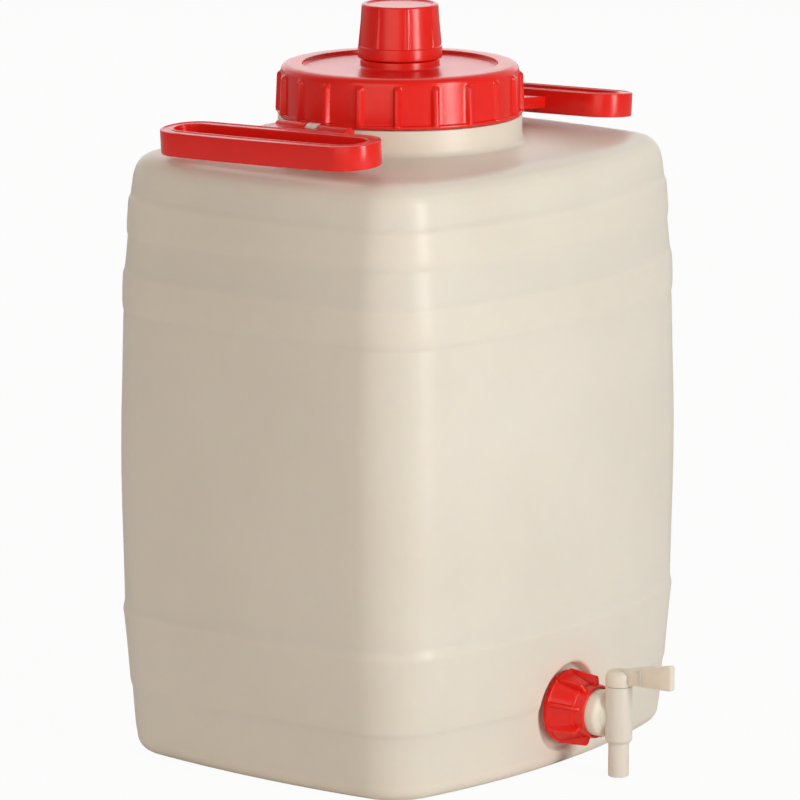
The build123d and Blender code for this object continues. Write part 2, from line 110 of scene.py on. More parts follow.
def dense_outline(outline, step):
    """A closed outline with no side longer than a step."""
    return dense(np.vstack([outline, outline[:1]]), step)[:-1]


def distinct(line):
    """The polyline without the points that repeat the one before them."""
    pairs = zip(line[:-1], line[1:])
    return np.array([line[0]] + [q for p, q in pairs if np.linalg.norm(q - p) > 1e-6])


def shrunk(outline, amount):
    """An outline whose points have all moved an amount towards its middle."""
    middle = outline.mean(0)
    rel = outline - middle
    size = np.linalg.norm(rel, axis=1, keepdims=True)
    return middle + rel * (1 - amount / np.maximum(size, 1e-6))


def smooth(x, lo, hi):
    """0 below lo and 1 above hi, with a soft run between them."""
    t = np.clip((x - lo) / (hi - lo), 0, 1)
    return t * t * (3 - 2 * t)


# ---------------------------------------------------------------- mesh helpers
class Build:
    """Collects vertices and faces of one piece, in millimetres."""

    def __init__(self):
        self.blocks = []
        self.faces = []
        self.total = 0

    def add(self, pts):
        """Adds points and returns their numbers."""
        pts = np.asarray(pts, float).reshape(-1, 3)
        start = self.total
        self.blocks.append(pts)
        self.total += len(pts)
        return np.arange(start, self.total)

    def rings(self, grid, close_loop=False, flip=False):
        """Skins a grid of (levels, around, 3) and returns the numbers of its points."""
        g = np.asarray(grid, float)
        idx = self.add(g).reshape(g.shape[:2])
        self.skin(idx, close_loop, flip)
        return idx

    def skin(self, idx, close_loop=False, flip=False):
        """Quads between levels, wrapping around, and from the last level to the first."""
        rows = len(idx)
        for i in range(rows if close_loop else rows - 1):
            self.join(idx[i], idx[(i + 1) % rows], flip)

    def join(self, ring_a, ring_b, flip=False):
        """Quads between two rings with as many points each."""
        for j in range(len(ring_a)):
            k = (j + 1) % len(ring_a)
            quad = (ring_a[j], ring_a[k], ring_b[k], ring_b[j])
            self.faces.append(quad[::-1] if flip else quad)

    def cap(self, ring, flip=False):
        """Closes a ring with a fan about its centre."""
        pts = np.concatenate(self.blocks)[ring]
        c = self.add(pts.mean(0))[0]
        for j in range(len(ring)):
            tri = (ring[j], ring[(j + 1) % len(ring)], c)
            self.faces.append(tri[::-1] if flip else tri)

    def zipper(self, ring_a, ring_b, ang_a, ang_b):
        """Triangles between two closed rings whose vertices are sorted by angle."""
        i = j = 0
        na, nb = len(ring_a), len(ring_b)
        turn_a = np.concatenate([ang_a, [ang_a[0] + FULL_TURN]])
        turn_b = np.concatenate([ang_b, [ang_b[0] + FULL_TURN]])
        while i < na or j < nb:
            if j >= nb or (i < na and turn_a[i + 1] <= turn_b[j + 1]):
                tri = (ring_a[i % na], ring_a[(i + 1) % na], ring_b[j % nb])
                i += 1
            else:
                tri = (ring_a[i % na], ring_b[(j + 1) % nb], ring_b[j % nb])
                j += 1
            self.faces.append(tri)

    def piece(self, name, body, slot, material, stands_for=(), sharp=32.0):
        """Makes the object, with edges over an angle in degrees kept sharp."""
        mesh = bpy.data.meshes.new(name)
        verts = np.concatenate(self.blocks) * MM
        mesh.from_pydata(verts.tolist(), [], [tuple(int(i) for i in f) for f in self.faces])
        mesh.validate()
        obj = bpy.data.objects.new(name, mesh)
        scene.collection.objects.link(obj)
        mesh.shade_smooth()
        mesh.set_sharp_from_angle(angle=math.radians(sharp))
        mesh.materials.append(material)
        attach(obj, body)
        if stands_for:
            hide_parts(*stands_for)


def about_z(profile, angles, centre=(0.0, 0.0)):
    """A grid turned about Z from (radius, height) rows."""
    p = np.asarray(profile)
    grid = np.empty((len(p), len(angles), 3))
    grid[:, :, 0] = centre[0] + p[:, 0:1] * np.cos(angles)
    grid[:, :, 1] = centre[1] + p[:, 0:1] * np.sin(angles)
    grid[:, :, 2] = p[:, 1:2]
    return grid


def level_axis(grid, height):
    """Turns a grid made about Z so that its axis runs along -Y at a height."""
    out = np.empty_like(grid)
    out[..., 0] = grid[..., 0]
    out[..., 1] = -grid[..., 2]
    out[..., 2] = height + grid[..., 1]
    return out


def full_turn(count):
    return np.arange(count) * FULL_TURN / count


def ribbed_circle(count, start, half, per_gap, per_rib, radius, crest, root):
    """Angles round a circle, close together at its ribs, and the rib's share at each.

    A rib has its whole height up to crest from its middle line and none beyond root.
    """
    first = math.radians(start)
    pitch = FULL_TURN / count
    edge = half / radius
    out = []
    for k in range(count):
        mid = first + k * pitch
        out += list(mid + np.linspace(-edge, edge, per_rib))
        out += list(mid + np.linspace(edge, pitch - edge, per_gap + 2)[1:-1])
    angles = np.array(out)
    off = (angles - first + pitch / 2) % pitch - pitch / 2
    return angles, 1 - smooth(np.abs(off) * radius, crest, root)


def set_radius(grid, row, radii, angles):
    """Gives one level of a grid made about Z its own radius at each angle."""
    grid[row, :, 0] = radii * np.cos(angles)
    grid[row, :, 1] = radii * np.sin(angles)


def add_plate(build, outline, levels, place, first_flip):
    """A plate from an outline: levels are (place across it, how far the edge is drawn in)."""
    rings = [place(shrunk(outline, amount), at) for at, amount in levels]
    idx = build.rings(rings)
    build.cap(idx[0], flip=first_flip)
    build.cap(idx[-1], flip=not first_flip)


def across_x(outline, x):
    return np.column_stack([np.full(len(outline), x), outline[:, 0], outline[:, 1]])


def across_y(outline, y):
    return np.column_stack([outline[:, 0], np.full(len(outline), y), outline[:, 1]])


def across_z(outline, z):
    return np.column_stack([outline, np.full(len(outline), z)])


THREAD_STEPS = 96        # points in one turn of a thread
THREAD_ROOT = -0.25      # the flanks start this far inside the wall
THREAD_FADE = 0.12       # turns over which each end fades


def add_thread(build, radius, z0, z1, turns, height, width, flank, start=0.0):
    """A screw thread laid on a cylinder, faded at both ends."""
    n = int(turns * THREAD_STEPS)
    rows = []
    for k in range(n + 1):
        t = k / n
        a = start + t * turns * FULL_TURN
        z = z0 + (z1 - z0) * t
        h = height * float(smooth(min(t, 1 - t) * turns, 0.0, THREAD_FADE))
        section = [(-width / 2, THREAD_ROOT), (-width / 2 + flank, h),
                   (width / 2 - flank, h), (width / 2, THREAD_ROOT)]
        rows.append([((radius + out) * math.cos(a), (radius + out) * math.sin(a), z + dz)
                     for dz, out in section])
    idx = build.rings(np.array(rows))
    build.cap(idx[0], flip=True)
    build.cap(idx[-1])


# ---------------------------------------------------------------- materials
def add_node(tree, kind, **inputs):
    """A shader node whose named inputs have a constant value."""
    made = tree.nodes.new(kind)
    for key, value in inputs.items():
        made.inputs[key.replace("_", " ")].default_value = value
    return made


def new_material(name):
    mat = bpy.data.materials.new(name)
    mat.use_nodes = True
    tree = mat.node_tree
    return mat, tree, tree.nodes["Principled BSDF"]


def noise(tree, scale, detail=3.0, rough=0.5, stretch=None):
    """A cloud of noise fixed to the object, as an output socket."""
    coord = tree.nodes.new("ShaderNodeTexCoord")
    mapping = tree.nodes.new("ShaderNodeMapping")
    if stretch:
        mapping.inputs["Scale"].default_value = stretch
    tex = add_node(tree, "ShaderNodeTexNoise", Scale=scale, Detail=detail, Roughness=rough)
    tree.links.new(coord.outputs["Object"], mapping.inputs["Vector"])
    tree.links.new(mapping.outputs["Vector"], tex.inputs["Vector"])
    return tex.outputs["Fac"]


def tone_between(tree, source, dark, light, target):
    """A colour that runs from dark to light over the middle of a noise."""
    ramp = tree.nodes.new("ShaderNodeValToRGB")
    for stop, place, colour in zip(ramp.color_ramp.elements, (0.3, 0.7), (dark, light)):
        stop.position = place
        stop.color = (*colour, 1)
    tree.links.new(source, ramp.inputs["Fac"])
    tree.links.new(ramp.outputs["Color"], target)


def spread(tree, source, low, high, target):
    """Takes a noise to a range of values."""
    mapped = add_node(tree, "ShaderNodeMapRange", To_Min=low, To_Max=high)
    tree.links.new(source, mapped.inputs["Value"])
    tree.links.new(mapped.outputs["Result"], target)


def bump(tree, shader, layers):
    """Chains bump layers: (height output, strength, distance in metres)."""
    last = None
    for height, strength, distance in layers:
        b = add_node(tree, "ShaderNodeBump", Strength=strength, Distance=distance)
        tree.links.new(height, b.inputs["Height"])
        if last:
            tree.links.new(last.outputs["Normal"], b.inputs["Normal"])
        last = b
    tree.links.new(last.outputs["Normal"], shader.inputs["Normal"])


def under_skin(shader, weight, radius, scale):
    """The light that goes into a plastic and comes out near by."""
    shader.inputs["Subsurface Weight"].default_value = weight
    shader.inputs["Subsurface Radius"].default_value = radius
    shader.inputs["Subsurface Scale"].default_value = scale
    shader.inputs["IOR"].default_value = 1.5


def srgb(r, g, b):
    def lin(c):
        c /= 255.0
        return c / 12.92 if c <= 0.04045 else ((c + 0.055) / 1.055) ** 2.4
    return (lin(r), lin(g), lin(b))


def milky(name, tint, rough, sub, grain):
    """Natural polyethylene: milky, a little cloudy, with a soft satin skin."""
    mat, tree, shader = new_material(name)
    dark = tuple(c * 0.955 for c in tint)
    light = tuple(min(1.0, c * 1.02) for c in tint)
    cloud = noise(tree, 9.0, 4.0, 0.55)
    tone_between(tree, cloud, dark, light, shader.inputs["Base Color"])
    flow = noise(tree, 26.0, 3.0, 0.5, stretch=(1.0, 1.0, 0.22))
    spread(tree, flow, rough - 0.05, rough + 0.07, shader.inputs["Roughness"])
    under_skin(shader, sub, (1.0, 0.62, 0.38), 0.012)
    fine = noise(tree, 900.0, 2.0, 0.5)
    waves = noise(tree, 17.0, 2.0, 0.5, stretch=(1.0, 1.0, 0.5))
    bump(tree, shader, [(waves, 0.35, 0.0016 * grain), (fine, 0.12, 0.0002)])
    return mat


def glossy_red(name, tint, rough):
    """Moulded red plastic with a satin gloss and a faint flow in the skin."""
    mat, tree, shader = new_material(name)
    cloud = noise(tree, 60.0, 3.0, 0.5)
    dark = tuple(c * 0.94 for c in tint)
    tone_between(tree, cloud, dark, tint, shader.inputs["Base Color"])
    scuff = noise(tree, 130.0, 2.0, 0.5)
    spread(tree, scuff, rough - 0.04, rough + 0.04, shader.inputs["Roughness"])
    under_skin(shader, 0.06, (1.0, 0.2, 0.1), 0.002)
    bump(tree, shader, [(noise(tree, 150.0, 1.0, 0.4), 0.12, 0.0005)])
    return mat


def soft_rubber(name, tint, rough):
    """Matt foam or rubber with a fine grain."""
    mat, tree, shader = new_material(name)
    grain = noise(tree, 700.0, 3.0, 0.6)
    dark = tuple(c * 0.8 for c in tint)
    tone_between(tree, grain, dark, tint, shader.inputs["Base Color"])
    spread(tree, grain, rough - 0.05, rough + 0.1, shader.inputs["Roughness"])
    bump(tree, shader, [(grain, 0.2, 0.0002)])
    return mat


body_mat = milky("natural_polyethylene", srgb(240, 231, 217), rough=0.36, sub=0.35, grain=1.0)
tap_mat = milky("tap_polyethylene", srgb(238, 229, 215), rough=0.33, sub=0.25, grain=0.15)
pin_mat = milky("pin_nylon", srgb(230, 222, 208), rough=0.4, sub=0.1, grain=0.1)
red_mat = glossy_red("moulded_red", srgb(240, 32, 22), rough=0.24)
seal_mat = soft_rubber("seal_foam", srgb(222, 219, 212), rough=0.55)
ring_mat = soft_rubber("ring_rubber", srgb(32, 32, 33), rough=0.45)


# ---------------------------------------------------------------- plan of the drum
HALF_X, HALF_Y, CORNER = 146.0, 129.0, 42.0
END_BULGE, SIDE_BULGE = 4.4, 12.5    # how far the bulged walls stand past their corners
CORNER_X, CORNER_Y = HALF_X - END_BULGE - CORNER, HALF_Y - SIDE_BULGE - CORNER
WALL = 3.0


def bow(reach, across):
    """Radius of the wall arc that meets both corner arcs in a tangent."""
    return (reach ** 2 + across ** 2 - CORNER ** 2) / (2 * (reach - CORNER))


END_R = bow(HALF_X - CORNER_X, CORNER_Y)
SIDE_R = bow(HALF_Y - CORNER_Y, CORNER_X)
END_A = math.asin(CORNER_Y / (END_R - CORNER))
SIDE_A = math.asin(CORNER_X / (SIDE_R - CORNER))
END_SAMPLES, CORNER_SAMPLES, SIDE_SAMPLES = 20, 20, 62


def plan_samples():
    """Centre, radius and angle of each sample round the plan, in order, and its bearing."""
    right, corner_sweep = math.pi / 2, math.pi / 2 - END_A - SIDE_A
    arcs = []
    for turn, s in ((0.0, 1), (math.pi, -1)):
        arcs += [
            (s * (HALF_X - END_R), 0.0, END_R, turn - END_A, 2 * END_A, END_SAMPLES),
            (s * CORNER_X, s * CORNER_Y, CORNER, turn + END_A, corner_sweep, CORNER_SAMPLES),
            (0.0, s * (HALF_Y - SIDE_R), SIDE_R, turn + right - SIDE_A, 2 * SIDE_A,
             SIDE_SAMPLES),
            (-s * CORNER_X, s * CORNER_Y, CORNER, turn + right + SIDE_A, corner_sweep,
             CORNER_SAMPLES),
        ]
    rows, bearings = [], []
    for x, y, r, start, sweep, n in arcs:
        first = math.atan2(y + r * math.sin(start), x + r * math.cos(start))
        last = math.atan2(y + r * math.sin(start + sweep), x + r * math.cos(start + sweep))
        if last < first:
            last += FULL_TURN
        for k in range(n):
            t = k / n
            rows.append((x, y, r, start + sweep * t))
            bearings.append(first + (last - first) * t)
    return np.array(rows), np.array(bearings)


def plan_ring(samples, inset, z):
    """The plan's outline drawn in by an inset, at a height."""
    x = samples[:, 0] + (samples[:, 2] - inset) * np.cos(samples[:, 3])
    y = samples[:, 1] + (samples[:, 2] - inset) * np.sin(samples[:, 3])
    return np.stack([x, y, np.full(len(x), z)], 1)


# ---------------------------------------------------------------- profile of the drum
FOOT_Z, FOOT_INSET, FOOT_RUN = 9.5, 16.5, 8.5    # the rounded edge round the base
FOOT_STEPS = 14
SIDE_TOP = 340.0

# (height, inset from the widest level), from the foot to the shoulder
SIDE_LEVELS = [
    # above the foot, with a soft step at 40
    (9.5, 8.0), (14, 7.2), (22, 6.5), (32, 5.8), (38.6, 5.3), (40.2, 4.5), (43, 4.1),
    (52, 3.4), (60, 2.8), (70, 1.9), (78, 1.15),
    # lower ring
    (81.5, 0.75), (84.5, 0.3), (87, 0.75), (89.5, 1.35), (96, 1.3),
    # belly
    (120, 0.85), (145, 0.25), (165, 0.0), (180, 0.0), (200, 0.3), (220, 0.95), (240, 1.45),
    # groove and edge of the middle band
    (256, 1.9), (259.5, 2.0), (261.5, 2.35), (263.5, 1.65), (268, 1.45), (276, 1.6), (282, 1.9),
    (284.2, 2.05), (286.6, 3.1), (292, 3.7), (300, 4.5),
    # groove and edge of the upper band
    (304, 4.85), (306, 5.05), (307.6, 4.55), (312, 4.45), (320, 5.0), (325.5, 5.4),
    (327.3, 5.65), (329.6, 6.95), (334, 7.45), (340, 8.3),
]
FINE_STEP, BLUR, BLUR_REACH = 0.5, 0.85, 8    # the profile is softened over about a millimetre
fine_z = np.arange(FOOT_Z, SIDE_TOP + 0.01, FINE_STEP)
fine_inset = np.interp(fine_z, [z for z, _ in SIDE_LEVELS], [d for _, d in SIDE_LEVELS])
kernel = np.exp(-0.5 * (np.arange(-BLUR_REACH, BLUR_REACH + 1) * FINE_STEP / BLUR) ** 2)
kernel /= kernel.sum()
fine_inset = np.convolve(np.pad(fine_inset, BLUR_REACH, mode="edge"), kernel, mode="valid")

# (from, to, step) of the levels of the mesh: close at the bands and wide on the belly
SIDE_ROWS = [
    (10.5, 37.0, 1.5), (37.5, 45.5, 0.7), (46.5, 78, 1.5), (78, 92, 0.8), (93, 254, 3.2),
    (255, 271, 0.7), (271.5, 281, 1.2), (281.5, 291, 0.7), (291.5, 302, 1.2),
    (302.5, 312, 0.7), (312.5, 323, 1.2), (323.5, 333, 0.7), (333.5, 340.1, 1.0),
]

# (inset, height) of the shoulder, which ends at the inner line of the plan
CORE_INSET, CORE_Z = 26.5, 354.05
SHOULDER = [(8.3, 340.0), (9.2, 343.6), (10.7, 347.2), (13.2, 350.4), (16.6, 352.5),
            (20.5, 353.5), (24.0, 353.9), (CORE_INSET, CORE_Z)]
SHOULDER_STEPS = 22

# (inset, height) of the inside, from the shoulder down to the base
INNER_SHOULDER = [(29.5, 350.6), (19.0, 349.3), (14.6, 346.0), (12.0, 340.0)]
INNER_SIDE_Z = (329, 305, 285, 262, 235, 200, 170, 130, 100, 85, 70, 58, 42, 30, 18)
INNER_FOOT = [(11.2, 12.0), (13.0, 7.0), (18.5, 3.6), (26.0, 3.0), (31.0, 5.2), (34.0, 5.2)]


def side_inset(z):
    return float(np.interp(z, fine_z, fine_inset))


def foot_profile():
    """The foot: shallow hollow under the base, ring, and the rounded edge up to the side."""
    hollow = rounded([(34.0, 2.2), (30.0, 2.2, 3.0), (26.5, 0.0, 3.0), (FOOT_INSET, 0.0)], 4)
    pts = [tuple(p) for p in hollow]
    for k in range(1, FOOT_STEPS + 1):
        t = math.radians(90) * k / FOOT_STEPS
        pts.append((FOOT_INSET - FOOT_RUN * math.sin(t), FOOT_Z * (1 - math.cos(t))))
    return pts


def side_profile():
    heights = np.concatenate([np.arange(*row) for row in SIDE_ROWS])
    return [(side_inset(z), z) for z in heights]


def shoulder_profile():
    inset, z = np.array(SHOULDER).T
    run = np.concatenate([[0], np.cumsum(np.hypot(np.diff(inset), np.diff(z)))])
    t = np.linspace(0, run[-1], SHOULDER_STEPS)[1:]
    return list(zip(np.interp(t, run, inset), np.interp(t, run, z)))


# ---------------------------------------------------------------- neck, niche and boss
COLLAR_R, FLARE, COLLAR_TOP = 71.0, 8.0, 371.5
FINISH_R, BORE_R, NECK_TOP = 66.0, 62.0, 395.5
DOME_Z = 356.5
ROOT_R = COLLAR_R + FLARE
DOME_STEPS, DOME_EVEN = 14, 0.25    # share of the dome's rise that is even

TAP_Z, NICHE_R, NICHE_Y = 36.0, 26.0, 118.0
NICHE_LIMIT = 31.0         # how far the niche's own mesh goes
NICHE_SOFT = 1.8           # radius of the niche's rim and toe
NICHE_DRAFT = 0.5          # how much narrower the niche is at its toe
NICHE_FLOOR = (23.0, 21.0, 18.5)
NICHE_MARGIN, FIRST_MARGIN = 0.6, 0.35    # room between its rings and its limit
NICHE_SAMPLES = 180
GROUND_GAP = 1.4
BOSS_R, BOSS_BORE, BOSS_END = 15.0, 11.5, 131.0
FRONT_FROM = -90.0         # the front wall lies beyond this, along Y
FOOT_ROWS_KEPT = 8         # levels under the foot that the niche doesn't reach


def front_reach(x, z):
    """How far the front (-Y) surface stands from the middle plane at x and height z."""
    if z >= FOOT_Z:
        inset = side_inset(min(z, SIDE_TOP))
    else:
        c = max(-1.0, min(1.0, 1 - z / FOOT_Z))
        inset = FOOT_INSET - FOOT_RUN * math.sqrt(max(0.0, 1 - c * c))
    r = SIDE_R - inset
    return (HALF_Y - SIDE_R) + math.sqrt(r * r - x * x)


def niche_edge(angle):
    """Outer limit of the niche's own mesh, kept above the ground."""
    s = math.sin(angle)
    return min(NICHE_LIMIT, (TAP_Z - GROUND_GAP) / -s) if s < 0 else NICHE_LIMIT


def niche_point(angle, radius, drop):
    """A point that lies a drop behind the front wall, but no deeper than the niche."""
    x, z = radius * math.cos(angle), TAP_Z + radius * math.sin(angle)
    reach = front_reach(x, z)
    return x, -min(reach, max(reach - drop, NICHE_Y)), z


def niche_rings(angles):
    """(radii, drops) of each ring of the niche, from its outer edge to the boss."""
    limits = np.array([niche_edge(a) for a in angles])
    deep = np.array([max(0.0, front_reach(NICHE_R * math.cos(a),
                                          TAP_Z + NICHE_R * math.sin(a)) - NICHE_Y)
                     for a in angles])
    soft = np.minimum(NICHE_SOFT, deep / 2.0)
    none, all_the_way = np.zeros(len(angles)), np.full(len(angles), math.inf)
    quarter = np.radians([0, 18, 36, 54, 72, 90])
    rings = [(np.minimum(NICHE_R + NICHE_SOFT + NICHE_MARGIN, limits - FIRST_MARGIN), none)]
    rim = [(q, NICHE_R + soft * (1 - math.sin(q)), soft * (1 - math.cos(q))) for q in quarter]
    toe = [(q, NICHE_R - NICHE_DRAFT - soft * (1 - math.cos(q)),
            deep - soft * (1 - math.sin(q))) for q in quarter]
    for q, radii, drops in rim + toe:
        rings.append((np.minimum(radii, limits - NICHE_MARGIN - 0.02 * q), drops))
    rings += [(np.full(len(angles), r), all_the_way) for r in NICHE_FLOOR]
    return rings


def body_levels(samples, bearings):
    """Every level of the drum: outside, dome, neck, down its bore and the inside."""
    levels = [plan_ring(samples, d, z)
              for d, z in foot_profile() + side_profile() + shoulder_profile()]
    front_rows = len(levels)
    # dome: from the plan's inner outline to the circle at the root of the neck
    edge = plan_ring(samples, CORE_INSET, 0.0)[:, :2]
    circle = np.stack([np.cos(bearings), np.sin(bearings)], 1) * ROOT_R
    for t in np.linspace(0, 1, DOME_STEPS)[1:]:
        z = CORE_Z + (DOME_Z - CORE_Z) * (DOME_EVEN * t + (1 - DOME_EVEN) * t * t)
        levels.append(across_z(edge * (1 - t) + circle * t, z))
    neck = rounded([
        (ROOT_R, DOME_Z), (COLLAR_R, DOME_Z, FLARE), (COLLAR_R, COLLAR_TOP, 0.7),
        (FINISH_R, COLLAR_TOP, 0.8), (FINISH_R, NECK_TOP, 0.8), (BORE_R, NECK_TOP, 0.8),
        (BORE_R, DOME_Z - 2, 3.0), (BORE_R + 9, DOME_Z - 4.5), (BORE_R + 17, DOME_Z - 4.8)], 8)
    levels += list(about_z(neck[1:], bearings))
    inner_side = [(side_inset(z) + WALL, z) for z in INNER_SIDE_Z]
    for d, z in INNER_SHOULDER + inner_side + INNER_FOOT:
        ring = plan_ring(samples, d, z)
        near = np.hypot(ring[:, 0], ring[:, 2] - TAP_Z) < NICHE_R + WALL
        ring[near & (ring[:, 1] < -(NICHE_Y - WALL)), 1] = -(NICHE_Y - WALL)
        levels.append(ring)
    return np.array(levels), front_rows


def make_body():
    build = Build()
    grid, front_rows = body_levels(*plan_samples())
    rows, cols = grid.shape[:2]
    idx = build.add(grid).reshape(rows, cols)
    # the front wall is left open round the niche
    flat = grid.reshape(-1, 3)
    bearing = np.arctan2(flat[:, 2] - TAP_Z, flat[:, 0])
    radius = np.hypot(flat[:, 0], flat[:, 2] - TAP_Z)
    limit = np.array([niche_edge(a) for a in bearing])
    row_of = np.repeat(np.arange(rows), cols)
    front = (flat[:, 1] < FRONT_FROM) & (row_of < front_rows) & (row_of >= FOOT_ROWS_KEPT)
    inside = (radius < limit) & front
    touched = set()
    for a, b in zip(idx[:-1], idx[1:]):
        for j in range(cols):
            k = (j + 1) % cols
            quad = (a[j], a[k], b[k], b[j])
            if any(inside[q] for q in quad):
                touched.update(q for q in quad if not inside[q])
            else:
                build.faces.append(quad)
    used = set(q for quad in build.faces for q in quad)
    # the edge of the opening is drawn to the limit of the niche's own mesh
    edge = np.array(sorted(touched & used))
    edge = edge[np.argsort(bearing[edge])]
    for v in edge:
        build.blocks[0][v] = niche_point(bearing[v], niche_edge(bearing[v]), 0.0)
    # the niche itself, ring by ring from its outer edge to the boss and through its bore
    last, last_angles = edge, bearing[edge]
    angles = np.linspace(-math.pi, math.pi, NICHE_SAMPLES + 1)[:-1] + 1e-4
    for radii, drops in niche_rings(angles):
        ring = build.add([niche_point(*p) for p in zip(angles, radii, drops)])
        build.zipper(last, ring, last_angles, angles)
        last, last_angles = ring, angles
    boss = rounded([
        (17.2, NICHE_Y), (BOSS_R, NICHE_Y, 1.2), (BOSS_R, BOSS_END, 0.6),
        (BOSS_BORE, BOSS_END, 0.5), (BOSS_BORE, NICHE_Y - WALL - 0.6)], 4)
    boss_points = [[(r * math.cos(a), -y, TAP_Z + r * math.sin(a)) for a in angles]
                   for r, y in boss]
    boss_idx = build.add(boss_points).reshape(len(boss), len(angles))
    build.zipper(last, boss_idx[0], angles, angles)
    build.skin(boss_idx, flip=True)
    # plates close the base, outside and inside
    build.cap(idx[0])
    build.cap(idx[-1], flip=True)
    return build


make_body().piece("drum_shell", "body", "body_plastic", body_mat, ("drum_body",), sharp=40.0)


# ---------------------------------------------------------------- hinges of the handles
HINGE_X, HINGE_Z, KNUCKLE_R, PIN_BORE = 79.0, 370.0, 5.0, 2.1
ARM_HALF = 3.5                            # half the thickness of the arm
EAR_HALF, EAR_EDGE, STOP_RUN = 4.0, 0.5, 16
EYE_STEPS, KNUCKLE_SAMPLES = 12, 40
STOP_GAP, STOP_SLOPE = 0.35, math.tan(math.radians(2.5))


def make_ears():
    """The drum's two ears, each an eye round the pin and a stop under the arm."""
    build = Build()
    stop = HINGE_Z - ARM_HALF - STOP_GAP - STOP_RUN * STOP_SLOPE
    root = DOME_Z - 3
    line = [(HINGE_X - KNUCKLE_R, HINGE_Z)]
    for k in range(1, EYE_STEPS + 1):
        a = math.pi - math.pi * k / EYE_STEPS
        line.append((HINGE_X + KNUCKLE_R * math.cos(a), HINGE_Z + KNUCKLE_R * math.sin(a)))
    shelf = rounded([
        (HINGE_X + KNUCKLE_R, HINGE_Z), (HINGE_X + KNUCKLE_R, stop, 1.0),
        (HINGE_X + STOP_RUN, stop, 1.2), (HINGE_X + STOP_RUN, root)], 4)
    line += [tuple(p) for p in shelf[1:]]
    line += [(COLLAR_R - 0.5, root), (COLLAR_R - 0.5, stop), (HINGE_X - KNUCKLE_R, stop)]
    levels = [(-EAR_HALF, EAR_EDGE), (-EAR_HALF + EAR_EDGE, 0),
              (EAR_HALF - EAR_EDGE, 0), (EAR_HALF, EAR_EDGE)]
    for s in (1, -1):
        outline = np.array(line)[::-s]
        outline[:, 0] *= s
        add_plate(build, outline, levels, across_y, first_flip=False)
    return build


make_ears().piece("hinge_ears", "body", "body_plastic", body_mat, sharp=35.0)


def make_neck_thread():
    build = Build()
    add_thread(build, FINISH_R, 376.0, 388.5, turns=2.1, height=0.75, width=3.2, flank=1.0)
    return build


make_neck_thread().piece("neck_thread", "body", "body_plastic", body_mat, sharp=30.0)


# ---------------------------------------------------------------- big lid
LID_BOTTOM, LID_TOP = 372.1, 401.1
LID_R, LID_BORE, LID_FLANGE = 69.6, 67.0, 1.6
RECESS_R, RECESS_Z, DECK_Z, LID_PLATE = 56.9, 395.3, 399.0, 3.0
SPOUT_FOOT_R, SPOUT_FOOT_H, SPOUT_R, SPOUT_BORE = 23.0, 8.4, 19.2, 16.5
SPOUT_TOP = 431.7
LID_RIB_FOOT, LID_RIB_FADE = 374.0, (394.6, 397.0)
LID_RIB_OUT, LID_RIB_TAPER, LID_RIB_RUN = 2.75, 1.0, 22.5


def make_lid():
    """Skirt with grip ribs, sunken deck and spout, as one closed wall."""
    build = Build()
    angles, rib = ribbed_circle(count=20, start=0.9, half=3.1, per_gap=9, per_rib=13,
                                radius=LID_R, crest=0.85, root=2.85)
    flange_r, foot_top = LID_R + LID_FLANGE, RECESS_Z + SPOUT_FOOT_H
    under_deck, under_rim = RECESS_Z - LID_PLATE, LID_TOP - LID_PLATE
    wall = rounded([
        (LID_BORE, LID_BOTTOM, 0.0), (LID_BORE, LID_BOTTOM + 0.01),
        (flange_r, LID_BOTTOM, 0.8), (flange_r, LID_BOTTOM + 2.0, 0.5),
        (LID_R, LID_BOTTOM + 2.2, 0.5), (LID_R - 0.6, LID_TOP, 4.2),
        (RECESS_R, LID_TOP, 0.5), (RECESS_R - 0.3, DECK_Z, 0.5),
        (SPOUT_FOOT_R + 0.2, DECK_Z, 1.2), (SPOUT_FOOT_R, foot_top, 0.8),
        (SPOUT_R, foot_top, 0.5), (SPOUT_R, SPOUT_TOP, 0.7), (SPOUT_BORE, SPOUT_TOP, 0.7),
        (SPOUT_BORE, under_deck, 0.8), (RECESS_R + LID_PLATE, under_deck, 1.0),
        (RECESS_R + LID_PLATE, under_rim, 0.6), (LID_BORE, under_rim, 1.0),
        (LID_BORE, LID_BOTTOM)], 6)[1:]
    wall = distinct(wall)
    # the skirt is cut finely, up to where its rounded top edge begins
    from_edge = np.abs(wall[:, 1] - (LID_TOP - 5.0)) + 1e3 * (wall[:, 0] < LID_R - 2)
    skirt = int(np.argmin(from_edge)) + 2
    line = np.concatenate([dense(wall[:skirt], 0.9), wall[skirt:]])
    grid = about_z(line, angles)
    # ribs stand on the skirt and fade out below the rounded top edge
    for i, (r, z) in enumerate(line):
        if r < LID_BORE + 1.2 or z > LID_TOP - 2.0:
            continue
        if z < LID_BOTTOM + 2.3:
            foot = np.maximum(r, LID_R + 2.6 - 0.3 * (z < LID_BOTTOM + 0.5))
            push = (foot - r) * rib * smooth(z, LID_BOTTOM + 0.2, LID_BOTTOM + 1.0)
        else:
            top = LID_R + LID_RIB_OUT - LID_RIB_TAPER * (z - LID_RIB_FOOT) / LID_RIB_RUN
            push = np.maximum(0.0, (top - r)) * rib * (1 - smooth(z, *LID_RIB_FADE))
        set_radius(grid, i, r + push, angles)
    build.rings(grid, close_loop=True)
    return build


def make_spout_thread():
    build = Build()
    add_thread(build, SPOUT_R, 414.0, 425.5, turns=2.2, height=1.3, width=2.6, flank=0.9,
               start=1.0)
    return build


make_lid().piece("lid_shell", "lid", "red_plastic", red_mat, ("screw_lid",), sharp=38.0)
make_spout_thread().piece("spout_thread", "lid", "red_plastic", red_mat, sharp=30.0)


